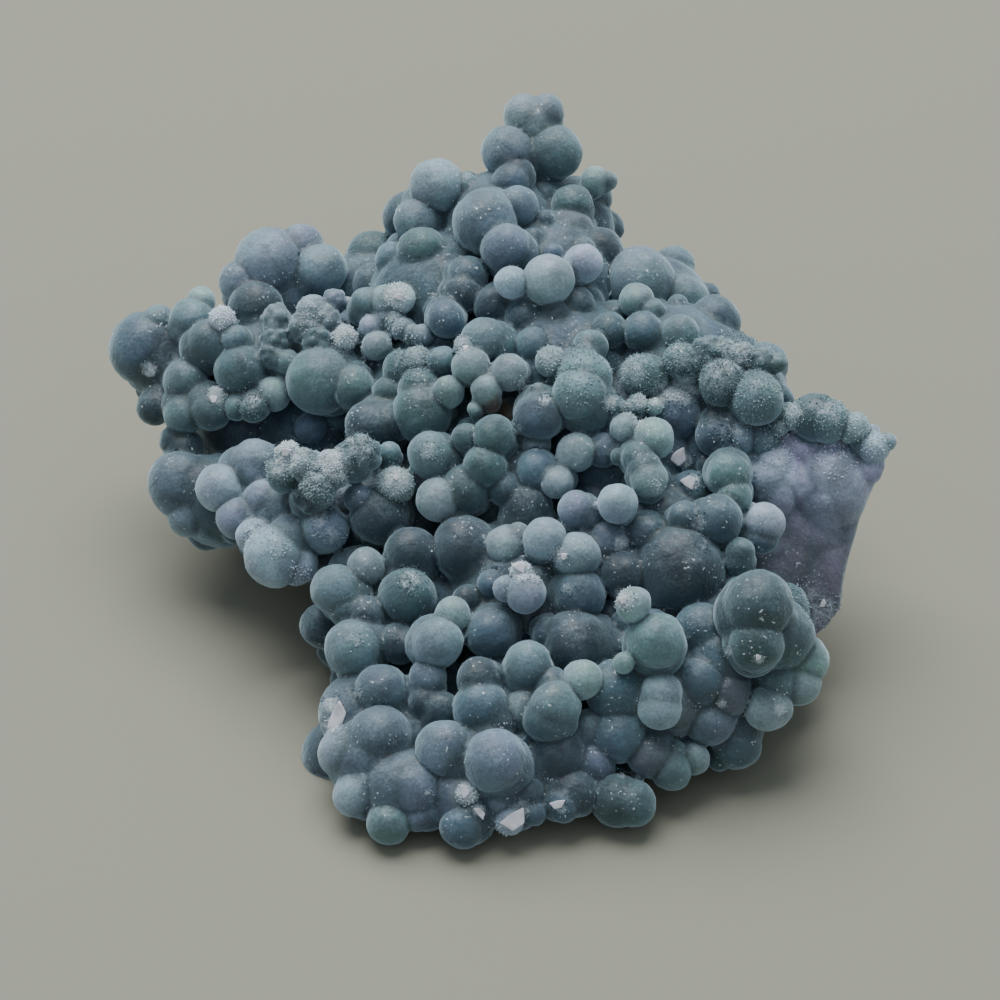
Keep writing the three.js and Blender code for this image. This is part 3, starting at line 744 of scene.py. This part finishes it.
def keep_outside():
    """Only the shell that reaches the top is kept, so pockets sealed inside are stone."""
    top = max(cluster.data.vertices, key=lambda vertex: vertex.co.z).index
    bpy.ops.object.mode_set(mode="EDIT")
    bpy.ops.mesh.select_mode(type="VERT")
    bpy.ops.mesh.select_all(action="DESELECT")
    bpy.ops.object.mode_set(mode="OBJECT")
    cluster.data.vertices[top].select = True
    bpy.ops.object.mode_set(mode="EDIT")
    bpy.ops.mesh.select_linked()
    bpy.ops.mesh.select_all(action="INVERT")
    bpy.ops.mesh.delete(type="VERT")
    bpy.ops.object.mode_set(mode="OBJECT")


# Rubbed flat where it stands: all that is below the table is cut away and the cut is closed.
BELOW_TABLE = 20
TABLE_WIDTH = 200
keep_outside()
bpy.ops.object.select_all(action="DESELECT")
bpy.ops.mesh.primitive_cube_add(
    size=1, location=(0, 0, -BELOW_TABLE / 2), scale=(TABLE_WIDTH, TABLE_WIDTH, BELOW_TABLE))
below_table = bpy.context.object
bpy.ops.object.select_all(action="DESELECT")
cluster.select_set(True)
bpy.context.view_layer.objects.active = cluster
rubbed = cluster.modifiers.new("rubbed", "BOOLEAN")
rubbed.operation = "DIFFERENCE"
rubbed.solver = "MANIFOLD"
rubbed.object = below_table
bpy.ops.object.modifier_apply(modifier=rubbed.name)
bpy.data.objects.remove(below_table)
keep_outside()

# The skin is thinned, its slivers are closed up, and what is left is cut into triangles.
MOST_TRIANGLES = 192000
SLIVER = 0.004
triangles = sum(len(face.vertices) - 2 for face in cluster.data.polygons)
thin = cluster.modifiers.new("thin", "DECIMATE")
thin.ratio = min(1, MOST_TRIANGLES / triangles)
bpy.ops.object.modifier_apply(modifier=thin.name)
bpy.ops.object.mode_set(mode="EDIT")
bpy.ops.mesh.select_all(action="SELECT")
bpy.ops.mesh.dissolve_degenerate(threshold=SLIVER)
bpy.ops.object.mode_set(mode="OBJECT")
faceted = cluster.modifiers.new("faceted", "TRIANGULATE")
bpy.ops.object.modifier_apply(modifier=faceted.name)
bpy.ops.object.shade_smooth()

# Each spot takes the colour of the grape it belongs to and runs into its neighbour's. Creases are marked
# for painted shade between grapes, and sides that face up for pale frost that is partly painted light from
# above.
points = skin_points(cluster)
pairs, gaps = nearest_balls(points)
margin = gaps[:, 1] - gaps[:, 0]
BLEND = 0.35
UNEVEN_COLOUR = 0.16
CREASE_SHADE_REACH = 0.45
SUGAR_CORE = 1.6
SUGAR_FADE = 1.3
SHARD_LEFT = 15.5
SHARD_UPPER = 5
OFF_GRAPES = 0.15
SHARD_TOP = (0.370, 0.395, 0.530)
SHARD_LOW = (0.134, 0.130, 0.174)
own = 0.5 + 0.5 * np.clip(margin / BLEND, 0, 1)[:, None]
ball_colours = np.array([
    np.array(colour) * (1 + UNEVEN_COLOUR * math.sin(12.9 * number))
    for number, (_, _, colour) in enumerate(balls)])
tint = np.ones((len(points), 4), np.float32)
tint[:, :3] = own * ball_colours[pairs[:, 0]] + (1 - own) * ball_colours[pairs[:, 1]]


def on_plane(points):
    """How far right and how far up the leaning plane each point is seen."""
    away = points - np.array(PLANE_CENTRE, np.float32)
    spread = 1 - away @ np.array(PLANE_FRONT, np.float32) / EYE_DISTANCE
    return away[:, 0] / spread, away @ np.array(PLANE_UP, np.float32) / spread


rights, ups = on_plane(points)
on_shard = (gaps[:, 0] > OFF_GRAPES) & (rights > SHARD_LEFT) & (ups < SHARD_UPPER)
low = np.clip((2.5 - ups[on_shard]) / 6, 0, 1)[:, None]
tint[on_shard, :3] = (1 - low) * np.array(SHARD_TOP) + low * np.array(SHARD_LOW)

# One rusty speck in the hole between the middle grapes.
RUST = (0.200, 0.085, 0.030)
RUST_PLACE = (-0.1, 5.9)
RUST_SPREAD = 0.85
RUST_DEEPEST = -6
RUST_NEAREST = -0.5
depths = (points - np.array(PLANE_CENTRE, np.float32)) @ np.array(PLANE_FRONT, np.float32)
rust_reach = np.hypot(rights - RUST_PLACE[0], ups - RUST_PLACE[1])
in_hole = (depths < RUST_NEAREST) & (depths > RUST_DEEPEST)
rusty = (np.clip(1.5 - rust_reach / RUST_SPREAD, 0, 1) * in_hole)[:, None]
tint[:, :3] = (1 - rusty) * tint[:, :3] + rusty * np.array(RUST)
outwards = np.empty(len(points) * 3, np.float32)
cluster.data.vertices.foreach_get("normal", outwards)
outwards = outwards.reshape(-1, 3)
grape_tint = cluster.data.color_attributes.new("tint", "FLOAT_COLOR", "POINT")
grape_tint.data.foreach_set("color", tint.ravel())
# Painted shade: the crease mask darkens the skin where two grapes meet.
crease_shade = cluster.data.attributes.new("crease_shade", "FLOAT", "POINT")
crease_shade.data.foreach_set("value", np.clip(1 - margin / CREASE_SHADE_REACH, 0, 1).astype(np.float32))
faces_eye = outwards @ np.array(PLANE_FRONT, np.float32) > 0.05
sugar_weight = np.zeros(len(points), np.float32)
for right, up, reach, thickness in sugar_patches:
    far = np.hypot(rights - right, ups - up) / reach
    laid = np.clip(SUGAR_CORE - SUGAR_FADE * far, 0, 1)
    sugar_weight = np.maximum(sugar_weight, faces_eye * thickness * laid)
sugar = cluster.data.attributes.new("sugar", "FLOAT", "POINT")
sugar.data.foreach_set("value", sugar_weight)
# Faces that point up are marked for pale frost, which also paints the light from above onto the tops.
frost_and_top_light = cluster.data.attributes.new("frost_and_top_light", "FLOAT", "POINT")
frost_and_top_light.data.foreach_set("value", np.clip(outwards[:, 2], 0, 1).astype(np.float32))

cluster.data.transform(Matrix.Scale(MM, 4))

# The grain that the stone, its sugar and its flakes share: a colour goes in and comes out mottled.
grain = bpy.data.node_groups.new("grain", "ShaderNodeTree")
for socket_name, kind in (("Color", "NodeSocketColor"), ("Scale", "NodeSocketFloat"),
                          ("Darkest", "NodeSocketFloat"), ("Lightest", "NodeSocketFloat")):
    grain.interface.new_socket(socket_name, in_out="INPUT", socket_type=kind)
grain.interface.new_socket("Color", in_out="OUTPUT", socket_type="NodeSocketColor")
nodes = grain.nodes
links = grain.links
coords = nodes.new("ShaderNodeTexCoord")


def attribute(name):
    read = nodes.new("ShaderNodeAttribute")
    read.attribute_name = name
    return read


def noise(scale, detail, roughness=0.5):
    made = nodes.new("ShaderNodeTexNoise")
    made.inputs["Scale"].default_value = scale
    made.inputs["Detail"].default_value = detail
    made.inputs["Roughness"].default_value = roughness
    links.new(coords.outputs["Object"], made.inputs["Vector"])
    return made.outputs["Fac"]


def ranged(value, from_low, from_high, to_low, to_high):
    made = nodes.new("ShaderNodeMapRange")
    made.inputs["From Min"].default_value = from_low
    made.inputs["From Max"].default_value = from_high
    made.inputs["To Min"].default_value = to_low
    made.inputs["To Max"].default_value = to_high
    links.new(value, made.inputs["Value"])
    return made.outputs["Result"]


def combined(operation, first, second):
    made = nodes.new("ShaderNodeMath")
    made.operation = operation
    for socket, value in zip(made.inputs, (first, second)):
        if isinstance(value, (int, float)):
            socket.default_value = value
        else:
            links.new(value, socket)
    return made.outputs["Value"]


def mixed(kind, factor, first, second):
    made = nodes.new("ShaderNodeMix")
    made.data_type = "RGBA"
    made.blend_type = kind
    for socket, value in zip((made.inputs["Factor"], made.inputs["A"], made.inputs["B"]),
                             (factor, first, second)):
        if isinstance(value, (int, float, tuple)):
            socket.default_value = value
        else:
            links.new(value, socket)
    return made.outputs["Result"]


given = nodes.new("NodeGroupInput")
mottle = noise(1, 3)
links.new(given.outputs["Scale"], mottle.node.inputs["Scale"])
shade = ranged(mottle, 0.32, 0.68, 0, 1)
links.new(given.outputs["Darkest"], shade.node.inputs["To Min"])
links.new(given.outputs["Lightest"], shade.node.inputs["To Max"])
mottled = nodes.new("NodeGroupOutput")
links.new(mixed("MULTIPLY", 1.0, given.outputs["Color"], shade), mottled.inputs["Color"])


def grained(colour, scale, darkest, lightest):
    placed = nodes.new("ShaderNodeGroup")
    placed.node_tree = grain
    placed.inputs["Scale"].default_value = scale
    placed.inputs["Darkest"].default_value = darkest
    placed.inputs["Lightest"].default_value = lightest
    links.new(colour, placed.inputs["Color"])
    return placed.outputs["Color"]


chalcedony = bpy.data.materials.new("frosted_chalcedony")
chalcedony.use_nodes = True
nodes = chalcedony.node_tree.nodes
links = chalcedony.node_tree.links
stone = nodes["Principled BSDF"]
coords = nodes.new("ShaderNodeTexCoord")

# Clouded stone that drifts from green to lavender, with painted shade, dark green to dark blue, in its
# creases.
drift = mixed("MIX", ranged(noise(170, 3), 0.4, 0.6, 0, 1), (0.90, 1.04, 0.97, 1), (1.06, 0.97, 1.07, 1))
drifting = mixed("MULTIPLY", 1.0, attribute("tint").outputs["Color"], drift)
clouded = grained(grained(drifting, 450, 0.66, 1.36), 5200, 0.82, 1.20)
# Painted shade colours that darken the creases, dark green to dark blue.
green_crease_shade = (0.008, 0.030, 0.024, 1)
blue_crease_shade = (0.012, 0.028, 0.042, 1)
deep = mixed("MIX", ranged(noise(260, 2), 0.42, 0.58, 0, 1), green_crease_shade, blue_crease_shade)
crease_shaded = mixed("MIX", combined("MULTIPLY", attribute("crease_shade").outputs["Fac"], 0.6), clouded, deep)
# Frost that lies thicker on top, in fine grains and ragged patches; the paler tops are also painted light
# from above.
fine_grains = ranged(noise(5200, 3), 0.40, 0.60, 0.25, 1)
frost_and_light_patches = combined("MULTIPLY", ranged(noise(700, 5, 0.6), 0.42, 0.70, 0, 1), fine_grains)
top_frost_and_light = combined("MULTIPLY", frost_and_light_patches, attribute("frost_and_top_light").outputs["Fac"])
frosted_and_top_lit = mixed("MIX", combined("MULTIPLY", top_frost_and_light, 0.40), crease_shaded, (0.20, 0.30, 0.33, 1))
# White sugar, closed where it lies thick and ragged where it thins out.
ragged = combined("ADD", attribute("sugar").outputs["Fac"], noise(1700, 4, 0.6))
crust = combined("MULTIPLY", ranged(ragged, 0.80, 1.30, 0, 1), ranged(noise(5200, 3), 0.40, 0.60, 0.55, 1))
sugared = mixed("MIX", crust, frosted_and_top_lit, (0.50, 0.585, 0.625, 1))
# Painted glints: fine white specks in the base colour stand in for light catching loose crystal.
painted_glints = combined(
    "MULTIPLY", ranged(noise(4300, 2), 0.665, 0.70, 0, 1), ranged(noise(500, 3), 0.48, 0.62, 0, 1))
glint_painted = mixed("MIX", painted_glints, sugared, (0.60, 0.67, 0.70, 1))
links.new(glint_painted, stone.inputs["Base Color"])

links.new(ranged(noise(1500, 3), 0.3, 0.7, 0.42, 0.68), stone.inputs["Roughness"])
grain_bump = nodes.new("ShaderNodeBump")
grain_bump.inputs["Strength"].default_value = 0.8
grain_bump.inputs["Distance"].default_value = 0.00006
links.new(combined("ADD", noise(4200, 4), combined("MULTIPLY", noise(1100, 3), 2.5)),
          grain_bump.inputs["Height"])
links.new(grain_bump.outputs["Normal"], stone.inputs["Normal"])
stone.inputs["Subsurface Weight"].default_value = 0.7
stone.inputs["Subsurface Radius"].default_value = (0.8, 1.0, 1.1)
stone.inputs["Subsurface Scale"].default_value = 0.0012
stone.inputs["Sheen Weight"].default_value = 0.9
stone.inputs["Sheen Roughness"].default_value = 0.5
stone.inputs["Sheen Tint"].default_value = (0.58, 0.76, 0.85, 1)
cluster.data.materials.clear()
cluster.data.materials.append(chalcedony)

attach(cluster, "root")
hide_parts("grape_agate")


# Sugar crystals stand on the white patches and are strewn thinly over the rest: short six-sided
# quartz points, the widest a sixth of a millimetre across, each grown from the skin.
bpy.ops.object.select_all(action="DESELECT")
bpy.ops.mesh.primitive_cone_add(
    vertices=6, radius1=0.5, radius2=0, depth=1.0, location=(0, 0, 0.5), end_fill_type="NGON")
point = bpy.context.object
bpy.ops.object.transform_apply(location=True)
bpy.ops.object.mode_set(mode="EDIT")
bpy.ops.mesh.select_mode(type="FACE")
bpy.ops.mesh.select_all(action="DESELECT")
bpy.ops.object.mode_set(mode="OBJECT")
for face in point.data.polygons:
    face.select = face.normal.z < -0.9
bpy.ops.object.mode_set(mode="EDIT")
bpy.ops.mesh.extrude_region_move(TRANSFORM_OT_translate={"value": (0, 0, -0.5)})
bpy.ops.mesh.merge(type="CENTER")
bpy.ops.object.mode_set(mode="OBJECT")
point_corners = np.array([tuple(vertex.co) for vertex in point.data.vertices])
point_faces = [tuple(face.vertices) for face in point.data.polygons]
bpy.data.objects.remove(point)

CRYSTALS_ON_PATCHES = 12500
CRYSTALS_STREWN = 3300
CRYSTALS_START = 0.35
PATCH_WIDTHS = (0.07, 0.16)
STREWN_WIDTHS = (0.04, 0.08)
CRYSTAL_LEAN = 0.45
CRYSTAL_HEIGHTS = (0.8, 1.5)
SUGAR_WHITE = (0.58, 0.66, 0.69)
chance = np.random.default_rng(5)
face_count = len(cluster.data.polygons)
face_corners = np.empty(face_count * 3, np.int32)
cluster.data.polygons.foreach_get("vertices", face_corners)
face_corners = face_corners.reshape(-1, 3)
face_areas = np.empty(face_count, np.float32)
cluster.data.polygons.foreach_get("area", face_areas)
face_sugar = sugar_weight[face_corners].mean(1)
face_up = np.clip(outwards[face_corners].mean(1)[:, 2] + 0.25, 0, 1)
off_table = points[face_corners][:, :, 2].min(1) > CRYSTALS_START
likely = off_table * face_areas * face_sugar**1.5
strewn = off_table * face_areas * face_up
where = np.concatenate([
    chance.choice(face_count, CRYSTALS_ON_PATCHES, replace=False, p=likely / likely.sum()),
    chance.choice(face_count, CRYSTALS_STREWN, replace=False, p=strewn / strewn.sum())])
size = np.concatenate([
    chance.uniform(*PATCH_WIDTHS, CRYSTALS_ON_PATCHES), chance.uniform(*STREWN_WIDTHS, CRYSTALS_STREWN)])
foot_point = points[face_corners[where]].mean(1)
upright = outwards[face_corners[where]].mean(1) + chance.normal(0, CRYSTAL_LEAN, (len(where), 3))
upright /= np.linalg.norm(upright, axis=1, keepdims=True)
side = np.cross(upright, chance.normal(0, 1, (len(where), 3)))
side /= np.linalg.norm(side, axis=1, keepdims=True)
heights = chance.uniform(*CRYSTAL_HEIGHTS, (len(where), 1))
axes = np.stack([side, np.cross(upright, side), upright * heights], 1)
corners = foot_point[:, None] + (point_corners @ axes) * size[:, None, None]
corners = corners.reshape(-1, 3)
step = len(point_corners)
druse_mesh = bpy.data.meshes.new("sugar_crystals")
druse_mesh.from_pydata(
    (corners * MM).tolist(), [],
    [tuple(corner + number * step for corner in face)
     for number in range(len(where)) for face in point_faces])
druse = bpy.data.objects.new("sugar_crystals", druse_mesh)
bpy.context.collection.objects.link(druse)
crystal_tint = druse_mesh.color_attributes.new("tint", "FLOAT_COLOR", "POINT")
under = tint[face_corners[where, 0], :3]
white = np.clip((face_sugar[where] - 0.3) * chance.uniform(0.6, 1.6, len(where)), 0.12, 1)[:, None]
colours = np.ones((len(where), step, 4), np.float32)
colours[:, :, :3] = ((1 - white) * under * 1.6 + white * np.array(SUGAR_WHITE))[:, None]
crystal_tint.data.foreach_set("color", colours.ravel())

sugar_quartz = bpy.data.materials.new("sugar_quartz")
sugar_quartz.use_nodes = True
nodes = sugar_quartz.node_tree.nodes
links = sugar_quartz.node_tree.links
quartz = nodes["Principled BSDF"]
coords = nodes.new("ShaderNodeTexCoord")
links.new(grained(attribute("tint").outputs["Color"], 2500, 0.8, 1.2), quartz.inputs["Base Color"])
links.new(ranged(noise(3000, 2), 0.3, 0.7, 0.15, 0.45), quartz.inputs["Roughness"])
quartz.inputs["Subsurface Weight"].default_value = 0.3
quartz.inputs["Subsurface Radius"].default_value = (0.9, 1.0, 1.1)
quartz.inputs["Subsurface Scale"].default_value = 0.0003
druse_mesh.materials.append(sugar_quartz)

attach(druse, "root")


# White flakes are bits of broken quartz crust, flat and sharp-edged, that lodge on the grapes and
# along the foot. One flake is modelled and copied at several sizes, each laid on the skin.
FLAKE_THICKNESS = 0.3
FLAKE_EDGE = 0.06
FLAKE_SEARCH = 0.35
# Each row: how far right, how far up, length, width, turn in degrees.
flake_places = [
    (12.2, 2.6, 1.7, 1.1, 20),
    (12.7, 1.2, 1.3, 0.9, 140),
    (-10.9, -14.4, 2.5, 1.1, 80),
    (-1.5, -20.6, 1.2, 0.5, 120),
    (-2.6, -19.3, 1.2, 0.6, 110),
    (1.0, -21.2, 2.3, 1.2, 25),
    (3.6, -20.2, 1.3, 0.6, 20),
    (-18.9, 7.0, 0.7, 0.6, 0),
    (-2.4, 10.4, 0.5, 0.4, 30),
    (3.9, -3.7, 0.6, 0.5, 10),
    (1.1, -4.4, 1.1, 0.7, 150),
    (8.0, -6.5, 0.8, 0.6, 30),
    (17.1, -10.8, 0.5, 0.4, 90),
    (-6.9, 1.6, 0.5, 0.4, 40),
    (21.4, -7.0, 0.8, 0.4, 60),
    (-14.4, 3.5, 0.9, 0.6, 10),
    (-7.0, 13.6, 0.9, 0.5, 160),
]
bpy.ops.object.select_all(action="DESELECT")
bpy.ops.mesh.primitive_circle_add(vertices=7, radius=0.5, fill_type="NGON")
one_flake = bpy.context.object
for number, vertex in enumerate(one_flake.data.vertices):
    vertex.co *= 0.85 + 0.25 * math.sin(2.3 * number)
bpy.ops.object.mode_set(mode="EDIT")
bpy.ops.mesh.select_all(action="SELECT")
bpy.ops.mesh.extrude_region_move(TRANSFORM_OT_translate={"value": (0, 0, FLAKE_THICKNESS)})
bpy.ops.mesh.select_all(action="SELECT")
bpy.ops.mesh.normals_make_consistent(inside=False)
bpy.ops.mesh.bevel(offset=FLAKE_EDGE, segments=2, affect="EDGES")
bpy.ops.object.mode_set(mode="OBJECT")
nearness = points @ np.array(PLANE_FRONT, np.float32)
flakes = []
for right, up, length, width, turn in flake_places:
    close = np.flatnonzero(faces_eye & (np.hypot(rights - right, ups - up) < FLAKE_SEARCH))
    spot = close[np.argmax(nearness[close])]
    flake = one_flake.copy()
    flake.data = one_flake.data.copy()
    lie = (Vector(outwards[spot]) + PLANE_FRONT).to_track_quat("Z", "Y").to_matrix().to_4x4()
    flake.matrix_world = (
        Matrix.Translation(Vector(points[spot]) - Vector(outwards[spot]) * FLAKE_THICKNESS / 2) @ lie
        @ Matrix.Rotation(math.radians(turn), 4, "Z") @ Matrix.Diagonal((length, width, 1, 1)))
    bpy.context.collection.objects.link(flake)
    flakes.append(flake)
bpy.data.objects.remove(one_flake)
bpy.ops.object.select_all(action="DESELECT")
for flake in flakes:
    flake.select_set(True)
bpy.context.view_layer.objects.active = flakes[0]
bpy.ops.object.join()
white_flakes = bpy.context.object
white_flakes.name = "white_flakes"
bpy.ops.object.transform_apply(location=True, rotation=True, scale=True)
for vertex in white_flakes.data.vertices:
    vertex.co.z = max(vertex.co.z, FLAKE_EDGE)
white_flakes.data.transform(Matrix.Scale(MM, 4))

milky_quartz = bpy.data.materials.new("milky_quartz")
milky_quartz.use_nodes = True
nodes = milky_quartz.node_tree.nodes
links = milky_quartz.node_tree.links
milky = nodes["Principled BSDF"]
coords = nodes.new("ShaderNodeTexCoord")
milk = mixed("MIX", ranged(noise(300, 2), 0.4, 0.6, 0, 1), (0.66, 0.68, 0.74, 1), (0.60, 0.60, 0.68, 1))
links.new(grained(milk, 1300, 0.72, 1.12), milky.inputs["Base Color"])
links.new(ranged(noise(2200, 3), 0.3, 0.7, 0.25, 0.6), milky.inputs["Roughness"])
milky.inputs["Subsurface Weight"].default_value = 0.5
milky.inputs["Subsurface Radius"].default_value = (0.9, 1.0, 1.1)
milky.inputs["Subsurface Scale"].default_value = 0.0006
white_flakes.data.materials.clear()
white_flakes.data.materials.append(milky_quartz)

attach(white_flakes, "root")


# The floor is a plain pale board, the light a soft overcast sky, and the camera stands
# where the eye of the leaning plane is.
bpy.ops.object.select_all(action="DESELECT")
bpy.ops.mesh.primitive_plane_add(size=4, location=(0, 0, 0))
floor = bpy.context.object
floor.name = "floor"
floor_paint = bpy.data.materials.new("floor_paint")
floor_paint.use_nodes = True
floor_paint.node_tree.nodes["Principled BSDF"].inputs["Base Color"].default_value = (0.242, 0.243, 0.190, 1)
floor_paint.node_tree.nodes["Principled BSDF"].inputs["Roughness"].default_value = 0.8
floor.data.materials.append(floor_paint)

world = bpy.data.worlds.new("overcast")
world.use_nodes = True
world.node_tree.nodes["Background"].inputs["Color"].default_value = (0.84, 0.92, 1.0, 1)
world.node_tree.nodes["Background"].inputs["Strength"].default_value = 0.52
bpy.context.scene.world = world

bpy.ops.object.light_add(type="AREA", location=(-0.08, 0.28, 0.6))
window = bpy.context.object
window.name = "window"
window.data.shape = "DISK"
window.data.size = 0.7
window.data.energy = 7.8
window.rotation_euler = (Vector((0, 0, 0.01)) - window.location).to_track_quat("-Z", "Y").to_euler()

bpy.ops.object.camera_add(location=(PLANE_CENTRE + PLANE_FRONT * EYE_DISTANCE) * MM)
camera = bpy.context.object
camera.rotation_euler = (math.pi / 2 - LEAN, 0, 0)
camera.data.sensor_width = 36
camera.data.lens = 172.8
camera.data.clip_start = 0.01
bpy.context.scene.camera = camera
